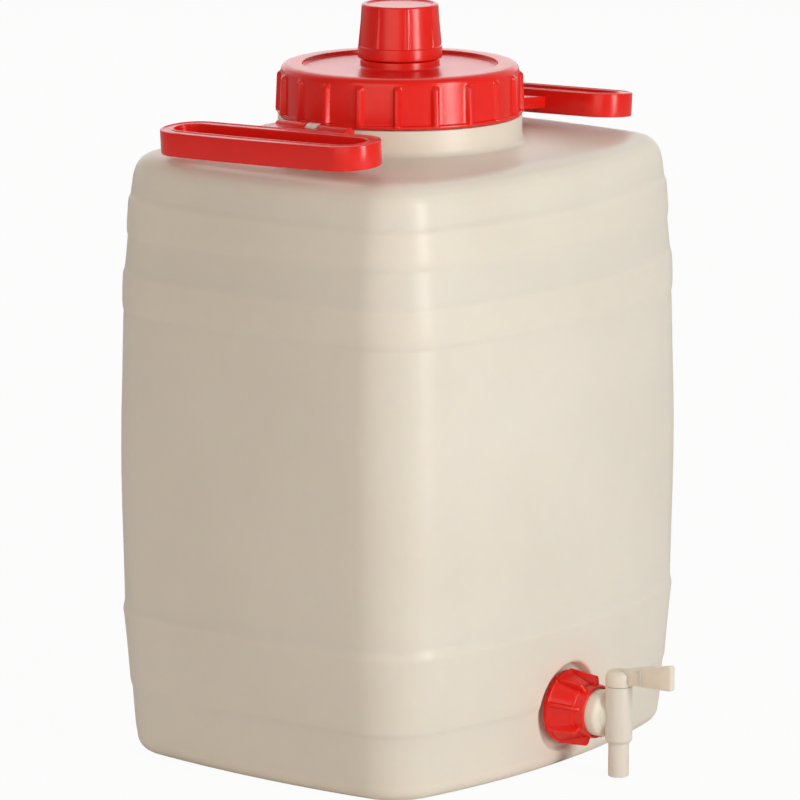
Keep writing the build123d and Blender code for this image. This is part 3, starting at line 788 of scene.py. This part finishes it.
# ---------------------------------------------------------------- small cap
CAP_BOTTOM, CAP_TOP = 404.3, 435.7
CAP_BAND_R, CAP_BAND_H, CAP_BORE = 24.6, 6.9, 21.2
CAP_RIB_FOOT, CAP_RIB_FADE = 411.5, (427.6, 429.8)
CAP_RIB_R, CAP_RIB_TAPER, CAP_RIB_RUN = 24.5, 1.2, 16.5


def make_cap():
    """Tapered cap with a plain foot band, grip ribs above it and a sunken top."""
    build = Build()
    angles, rib = ribbed_circle(count=8, start=3.5, half=2.2, per_gap=13, per_rib=11,
                                radius=23.5, crest=0.45, root=1.5)
    line = rounded([
        (CAP_BORE, CAP_BOTTOM), (CAP_BAND_R, CAP_BOTTOM, 0.7),
        (24.45, CAP_BOTTOM + CAP_BAND_H, 0.5), (23.9, CAP_BOTTOM + 7.0, 0.15),
        (23.7, CAP_BOTTOM + 7.3, 0.2), (22.2, CAP_TOP, 1.3), (19.9, CAP_TOP, 0.5),
        (19.3, CAP_TOP - 0.8, 0.5), (0.3, CAP_TOP - 0.8)], 6)
    skirt = int(np.argmax(line[:, 1] > CAP_TOP - 3.0))
    line = np.concatenate([dense(line[:skirt], 0.9), line[skirt:]])
    grid = about_z(line, angles)
    for i, (r, z) in enumerate(line):
        if z < CAP_BOTTOM + 7.25 or z > CAP_TOP - 3.0 or r < CAP_BORE - 0.2:
            continue
        top = CAP_RIB_R - CAP_RIB_TAPER * (z - CAP_RIB_FOOT) / CAP_RIB_RUN
        push = np.maximum(0.0, top - r) * rib * (1 - smooth(z, *CAP_RIB_FADE))
        set_radius(grid, i, r + push, angles)
    outside = build.rings(grid)
    build.cap(outside[-1])
    under = rounded([(20.0, 433.5), (20.6, 433.5, 0.4), (CAP_BORE, CAP_BOTTOM)], 3)
    inside = build.rings(about_z(under, angles))
    build.cap(inside[0], flip=True)
    build.join(inside[-1], outside[0])
    return build


make_cap().piece("cap_shell", "cap", "red_plastic", red_mat, ("small_cap",), sharp=38.0)


# ---------------------------------------------------------------- handles
LOOP_X, LOOP_Z = 120.0, 369.5
LOOP_L, LOOP_W, LOOP_CORNER, BAND, LOOP_H = 151.5, 37.5, 18.0, 8.0, 14.0
CHANNEL_WALL = 2.2
DROOP = math.radians(3.9)
LEAN = math.tan(math.radians(1.6))
BOW = 2.6                          # how far the outer bar's ends are drawn in
ARM_NEAR, ARM_FAR, ARM_ROOT = 4.4, 26.0, 30.0
BRIDGE_HALF = 4.6
CORNER_STEPS, LONG_STEPS, SHORT_STEPS = 14, 10, 3


def loop_path():
    """Points and outward normals of the loop's middle line, about the loop's centre."""
    hx, hy, r = LOOP_W / 2 - BAND / 2, LOOP_L / 2 - BAND / 2, LOOP_CORNER - BAND / 2
    corners = [(hx - r, hy - r, 0), (-(hx - r), hy - r, 90),
               (-(hx - r), -(hy - r), 180), (hx - r, -(hy - r), 270)]
    pts, normals = [], []
    for q, (cx, cy, start) in enumerate(corners):
        for k in range(CORNER_STEPS + 1):
            a = math.radians(start + 90 * k / CORNER_STEPS)
            pts.append((cx + r * math.cos(a), cy + r * math.sin(a)))
            normals.append((math.cos(a), math.sin(a)))
        next_x, next_y, _ = corners[(q + 1) % 4]
        a = math.radians(start + 90)
        here = np.array(pts[-1])
        there = np.array((next_x + r * math.cos(a), next_y + r * math.sin(a)))
        n = SHORT_STEPS if q in (0, 2) else LONG_STEPS
        for k in range(1, n):
            pts.append(tuple(here + (there - here) * k / n))
            normals.append((math.cos(a), math.sin(a)))
    pts = np.array(pts)
    outward = np.clip((pts[:, 0] + hx) / (2 * hx), 0, 1)
    pts[:, 0] -= BOW * outward * (pts[:, 1] / (LOOP_L / 2)) ** 2
    return pts, np.array(normals)


def add_band(build, side):
    """The loop: a channel section with a rounded, slightly sunken top."""
    half, h = BAND / 2, LOOP_H / 2
    inner = half - CHANNEL_WALL
    section = rounded([
        (-inner, -h), (-half, -h, 0.5), (-half, h, 1.0), (-half + 1.5, h, 0.5),
        (-half + 1.9, h - 0.45, 0.3), (half - 1.9, h - 0.45, 0.3), (half - 1.5, h, 0.5),
        (half, h, 1.0), (half, -h, 0.5), (inner, -h, 0.3), (inner, h - 2.6, 0.8),
        (-inner, h - 2.6, 0.8), (-inner, -h)], 4)[:-1]
    pts, normals = loop_path()
    grid = np.empty((len(section), len(pts), 3))
    for i, (out, up) in enumerate(section):
        xy = pts + normals * out
        grid[i, :, 0] = LOOP_X + xy[:, 0]
        grid[i, :, 1] = xy[:, 1]
        grid[i, :, 2] = LOOP_Z + up - side * LEAN * xy[:, 1]
    build.rings(grid, flip=True, close_loop=True)


def add_arm_plate(build, plan, edge=0.5):
    """A flat part of the arm with softened edges."""
    z0, z1 = HINGE_Z - ARM_HALF, HINGE_Z + ARM_HALF
    levels = [(z0, edge), (z0 + 0.3 * edge, 0.3 * edge), (z0 + edge, 0),
              (z1 - edge, 0), (z1 - 0.3 * edge, 0.3 * edge), (z1, edge)]
    add_plate(build, plan, levels, across_z, first_flip=True)


def add_knuckle(build, y0, y1, edge=0.6):
    """A barrel along Y round the pin, with softened ends."""
    line = rounded([(PIN_BORE, y0), (KNUCKLE_R, y0, edge), (KNUCKLE_R, y1, edge),
                    (PIN_BORE, y1)], 3)
    ang = full_turn(KNUCKLE_SAMPLES)
    grid = np.empty((len(line), len(ang), 3))
    for i, (r, y) in enumerate(line):
        grid[i, :, 0] = HINGE_X + r * np.cos(ang)
        grid[i, :, 1] = y
        grid[i, :, 2] = HINGE_Z + r * np.sin(ang)
    build.rings(grid, flip=True, close_loop=True)


def make_handle(side):
    """Loop, arm and knuckles over the +X end, or turned round to the -X end."""
    build = Build()
    add_band(build, side)
    end = LOOP_X - LOOP_W / 2 + CHANNEL_WALL
    for s in (1, -1):
        plan = rounded([(HINGE_X, s * ARM_NEAR), (end, s * ARM_NEAR), (end, s * ARM_ROOT),
                        (HINGE_X, s * ARM_FAR), (HINGE_X, s * ARM_NEAR)], 4)[:-1]
        add_arm_plate(build, dense_outline(plan[::s], 4.0))
        add_knuckle(build, *sorted((s * ARM_NEAR, s * ARM_FAR)))
    near = HINGE_X + 6.0
    bridge = np.array([(near, -BRIDGE_HALF), (end, -BRIDGE_HALF),
                       (end, BRIDGE_HALF), (near, BRIDGE_HALF)])
    add_arm_plate(build, dense_outline(bridge, 3.0))
    for k, block in enumerate(build.blocks):
        v = block.copy()
        dx, dz = v[:, 0] - HINGE_X, v[:, 2] - HINGE_Z
        v[:, 0] = HINGE_X + dx * math.cos(DROOP) + dz * math.sin(DROOP)
        v[:, 2] = HINGE_Z - dx * math.sin(DROOP) + dz * math.cos(DROOP)
        v[:, :2] *= side
        build.blocks[k] = v
    return build


for hand, side in (("left", -1), ("right", 1)):
    make_handle(side).piece(f"handle_{hand}_shell", f"handle_{hand}", "red_plastic", red_mat,
                            (f"handle_{hand}",), sharp=35.0)


# ---------------------------------------------------------------- union nut
NUT_BACK, NUT_FRONT = 121.4, 145.6
NUT_FLANGE_R, NUT_FLANGE_H = 21.4, 3.2
NUT_COLLAR_R, NUT_MOUTH_R, NUT_SEAT_Y = 15.4, 14.0, 135.5
NUT_RIB_FADE, NUT_RIB_END = (141.0, 142.8), 143.2
NUT_RIB_R, NUT_RIB_TAPER, NUT_RIB_RUN = 22.0, 1.6, 19.6


def make_nut():
    """Flange, cone, ridge and collar with grip ribs. Its profile is (radius, -Y)."""
    build = Build()
    angles, rib = ribbed_circle(count=8, start=30.0, half=2.3, per_gap=11, per_rib=11,
                                radius=20.0, crest=0.7, root=1.9)
    line = rounded([
        (NUT_COLLAR_R, NUT_BACK), (NUT_FLANGE_R, NUT_BACK, 0.7),
        (NUT_FLANGE_R, NUT_BACK + NUT_FLANGE_H, 0.6), (20.2, NUT_BACK + 3.3, 0.4),
        (16.5, 137.0, 0.4), (16.3, 137.8, 0.3), (16.35, 139.2, 0.4),
        (NUT_COLLAR_R, 139.3, 0.3), (NUT_COLLAR_R, NUT_FRONT, 0.6),
        (NUT_MOUTH_R, NUT_FRONT, 0.4), (NUT_MOUTH_R, NUT_SEAT_Y, 0.2),
        (NUT_COLLAR_R, NUT_SEAT_Y, 0.2), (NUT_COLLAR_R, NUT_BACK)], 4)
    line = distinct(line)[:-1]
    stop = int(np.argmax(line[:, 1] > 142.0)) + 1
    line = np.concatenate([dense(line[:stop], 0.7), line[stop:]])
    grid = about_z(line, angles)
    for i, (r, y) in enumerate(line):
        if r < NUT_COLLAR_R - 0.1 or y < NUT_BACK + 0.3 or y > NUT_RIB_END:
            continue
        top = NUT_RIB_R - NUT_RIB_TAPER * (y - NUT_BACK) / NUT_RIB_RUN
        push = np.maximum(0.0, top - r) * rib * (1 - smooth(y, *NUT_RIB_FADE))
        set_radius(grid, i, r + push, angles)
    build.rings(level_axis(grid, TAP_Z), flip=True, close_loop=True)
    return build


make_nut().piece("nut_shell", "nut", "red_plastic", red_mat, ("tap_nut",), sharp=38.0)


# ---------------------------------------------------------------- tap
SPINDLE = 160.2                                   # the plug's axis, along -Y
SPINDLE_XY = (0.0, -SPINDLE)
TAIL_R, TAIL_BORE, BARREL_R = 11.2, 8.0, 13.6
TAP_FLANGE_R, TAP_FLANGE_Y0, TAP_FLANGE_Y1 = 14.9, 133.2, 135.4
HOUSING_R, HOUSING_BORE, HOUSING_Z0, HOUSING_Z1 = 7.85, 6.27, 20.7, 54.0
PIPE_R, PIPE_BORE, PIPE_Z = 6.0, 4.0, 0.8
PLUG_R, RING_SEAT_R = 6.2, 4.75
LOWER_RING, UPPER_RING = (23.9, 26.1), (48.4, 50.6)
HEAD_Z0, HEAD_Z1, HEAD_DOME = 54.3, 63.3, 5.6
PORT_TOP = 42.0
LEVER_END = -198.0
LEVER_LEVELS = [(-2.2, 0.7), (-2.0, 0.25), (-1.5, 0.0), (1.5, 0.0), (2.0, 0.25), (2.2, 0.7)]
LEVER_RIB = [(-177.6, 2.1), (-177.2, 2.7), (-176.4, 2.9), (-175.6, 2.7), (-175.2, 2.1)]
LEVER_RIB_Z = (57.2, 66.2)
ROUND_SAMPLES = 72


def make_tap():
    """The level barrel with its tail and flange, and the upright housing."""
    build = Build()
    angles = full_turn(ROUND_SAMPLES)
    barrel = rounded([
        (TAIL_BORE, 120.0), (TAIL_R, 120.0, 0.8), (TAIL_R, 133.1, 0.2),
        (TAP_FLANGE_R, TAP_FLANGE_Y0, 0.3), (TAP_FLANGE_R, TAP_FLANGE_Y1, 0.3),
        (BARREL_R, TAP_FLANGE_Y1, 0.2), (BARREL_R, 151.4, 2.4), (9.8, 153.0, 1.5),
        (6.6, 157.5), (TAIL_BORE, 157.5)], 6)
    barrel = np.concatenate([barrel[:-1], [[6.4, 157.5], [6.4, 151.0], [TAIL_BORE, 150.0]]])
    build.rings(level_axis(about_z(barrel, angles), TAP_Z), flip=True, close_loop=True)
    housing = rounded([
        (HOUSING_BORE, HOUSING_Z0), (6.6, HOUSING_Z0), (HOUSING_R, 22.4, 0.9),
        (HOUSING_R, HOUSING_Z1, 0.5), (HOUSING_BORE, HOUSING_Z1),
        (HOUSING_BORE, HOUSING_Z0)], 4)[:-1]
    build.rings(about_z(housing, angles, SPINDLE_XY), close_loop=True)
    return build


def make_plug():
    """The outlet pipe, the plug with its ring seats, the domed head and the lever."""
    build = Build()
    angles = full_turn(ROUND_SAMPLES)
    stem = [(PIPE_BORE, PIPE_Z), (PIPE_R, PIPE_Z, 0.4), (PIPE_R, 19.9, 0.2), (PLUG_R, 21.7)]
    for low, high in (LOWER_RING, UPPER_RING):
        stem += [(PLUG_R, low), (RING_SEAT_R, low), (RING_SEAT_R, high), (PLUG_R, high)]
    stem += [(PLUG_R, HEAD_Z0), (HOUSING_R, HEAD_Z0, 0.4), (HOUSING_R, HEAD_Z1, HEAD_DOME),
             (0.05, HEAD_Z1)]
    outside = build.rings(about_z(rounded(stem, 8), angles, SPINDLE_XY))
    build.cap(outside[-1])
    bore = [(PIPE_BORE, PORT_TOP), (PIPE_BORE, PIPE_Z)]
    inside = build.rings(about_z(bore, angles, SPINDLE_XY))
    build.cap(inside[0], flip=True)
    build.join(inside[-1], outside[0])
    # lever blade: outline in Y and Z, thickness along X
    blade = rounded([
        (-SPINDLE, 55.4), (LEVER_END, 56.6, 1.2), (LEVER_END, 71.6, 1.4),
        (-SPINDLE - 3.9, 64.6), (-SPINDLE + 1.0, 61.0), (-SPINDLE, 55.4)], 5)[:-1]
    add_plate(build, dense_outline(blade, 3.0), LEVER_LEVELS, across_x, first_flip=True)
    # upright rib across the blade
    low, high = LEVER_RIB_Z
    rib = build.rings([[(-half, y, low), (half, y, low), (half, y, high), (-half, y, high)]
                       for y, half in LEVER_RIB])
    build.cap(rib[0])
    build.cap(rib[-1], flip=True)
    return build


make_tap().piece("tap_shell", "body", "tap_plastic", tap_mat, ("tap_body",), sharp=38.0)
make_plug().piece("plug_shell", "plug", "tap_plastic", tap_mat, ("tap_plug",), sharp=38.0)

# solids that the scene keeps as they are
KEPT_NODES = {
    "lid_gasket": seal_mat, "small_cap_seal": seal_mat, "tap_gasket": seal_mat,
    "hinge_pin_left": pin_mat, "hinge_pin_right": pin_mat,
    "plug_ring_upper": ring_mat, "plug_ring_lower": ring_mat,
}
for name, mat in KEPT_NODES.items():
    nodes[name].data.materials.clear()
    nodes[name].data.materials.append(mat)


# ---------------------------------------------------------------- floor
FLOOR_HALF, FLOOR_DROP, FLOOR_GLOW = 30, -0.0004, 0.95


def pale_floor():
    """Diffuse to the object and nearly white to the camera, as in a studio photo."""
    mat = bpy.data.materials.new("pale_floor")
    mat.use_nodes = True
    tree = mat.node_tree
    tree.nodes.remove(tree.nodes["Principled BSDF"])
    matt = add_node(tree, "ShaderNodeBsdfDiffuse", Color=(0.82, 0.82, 0.82, 1))
    glow = add_node(tree, "ShaderNodeEmission", Color=(1, 1, 1, 1))
    path = tree.nodes.new("ShaderNodeLightPath")
    share = tree.nodes.new("ShaderNodeMath")
    share.operation = "MULTIPLY"
    share.inputs[1].default_value = FLOOR_GLOW
    mix = tree.nodes.new("ShaderNodeMixShader")
    tree.links.new(path.outputs["Is Camera Ray"], share.inputs[0])
    tree.links.new(share.outputs[0], mix.inputs["Fac"])
    tree.links.new(matt.outputs["BSDF"], mix.inputs[1])
    tree.links.new(glow.outputs["Emission"], mix.inputs[2])
    tree.links.new(mix.outputs["Shader"], tree.nodes["Material Output"].inputs["Surface"])
    return mat


floor_mesh = bpy.data.meshes.new("studio_floor")
floor_mesh.from_pydata([(x * FLOOR_HALF, y * FLOOR_HALF, 0)
                        for x, y in ((-1, -1), (1, -1), (1, 1), (-1, 1))], [], [(0, 1, 2, 3)])
floor = bpy.data.objects.new("studio_floor", floor_mesh)
scene.collection.objects.link(floor)
floor.location.z = FLOOR_DROP
floor_mesh.materials.append(pale_floor())


# ---------------------------------------------------------------- lights
AIM_HEIGHT = 0.2


def softbox(name, azimuth, distance, height, size, watts, colour=(1, 1, 1)):
    """A rectangular lamp at an azimuth (degrees from +X), pointed at the object's middle."""
    data = bpy.data.lights.new(name, "AREA")
    data.shape = "RECTANGLE"
    data.size, data.size_y = size
    data.energy = watts
    data.color = colour
    obj = bpy.data.objects.new(name, data)
    a = math.radians(azimuth)
    obj.location = (distance * math.cos(a), distance * math.sin(a), height)
    scene.collection.objects.link(obj)
    tilt = math.atan2(height - AIM_HEIGHT, distance)
    obj.rotation_euler = (math.radians(90) - tilt, 0, a + math.radians(90))
    return obj


softbox("key", -93.0, 2.2, 0.62, size=(0.5, 1.7), watts=27.0, colour=(1.0, 0.98, 0.96))
softbox("fill", -165.0, 3.0, 1.0, size=(2.4, 2.0), watts=22.0, colour=(1.0, 0.80, 0.68))
softbox("top", 50.0, 1.7, 2.3, size=(2.4, 2.4), watts=8.0)
behind = softbox("behind", 38.0, 3.0, 1.05, size=(3.2, 1.5), watts=9.0)
behind.visible_camera = False


# ---------------------------------------------------------------- world
ROOM_COLOUR, ROOM_STRENGTH = (1.0, 0.93, 0.86, 1), 0.36
WALL_BEARING = (0.77, 0.606, 0.2)       # the white wall stands behind the drum
WALL_FROM, WALL_TO = 0.1, 0.8
DIM, BRIGHT = 0.16, 1.1


def light_room(world):
    """Diffuse light from a warm room, a bright wall for gloss, white for the camera."""
    world.use_nodes = True
    world.cycles.sampling_method = "NONE"
    tree = world.node_tree
    room = tree.nodes["Background"]
    room.inputs["Color"].default_value = ROOM_COLOUR
    room.inputs["Strength"].default_value = ROOM_STRENGTH
    white = add_node(tree, "ShaderNodeBackground", Color=(1, 1, 1, 1), Strength=1.0)
    # glossy rays see a white wall behind the drum and a dim room in front of it
    sheen = tree.nodes.new("ShaderNodeBackground")
    where = tree.nodes.new("ShaderNodeTexCoord")
    facing = tree.nodes.new("ShaderNodeVectorMath")
    facing.operation = "DOT_PRODUCT"
    facing.inputs[1].default_value = WALL_BEARING
    wall = add_node(tree, "ShaderNodeMapRange", From_Min=WALL_FROM, From_Max=WALL_TO,
                    To_Min=DIM, To_Max=BRIGHT)
    tree.links.new(where.outputs["Generated"], facing.inputs[0])
    tree.links.new(facing.outputs["Value"], wall.inputs["Value"])
    tree.links.new(wall.outputs["Result"], sheen.inputs["Strength"])
    path = tree.nodes.new("ShaderNodeLightPath")
    surface = room.outputs["Background"]
    for ray, shown in (("Is Glossy Ray", sheen), ("Is Camera Ray", white)):
        mix = tree.nodes.new("ShaderNodeMixShader")
        tree.links.new(path.outputs[ray], mix.inputs["Fac"])
        tree.links.new(surface, mix.inputs[1])
        tree.links.new(shown.outputs["Background"], mix.inputs[2])
        surface = mix.outputs["Shader"]
    tree.links.new(surface, tree.nodes["World Output"].inputs["Surface"])


scene.world = bpy.data.worlds.new("studio")
light_room(scene.world)
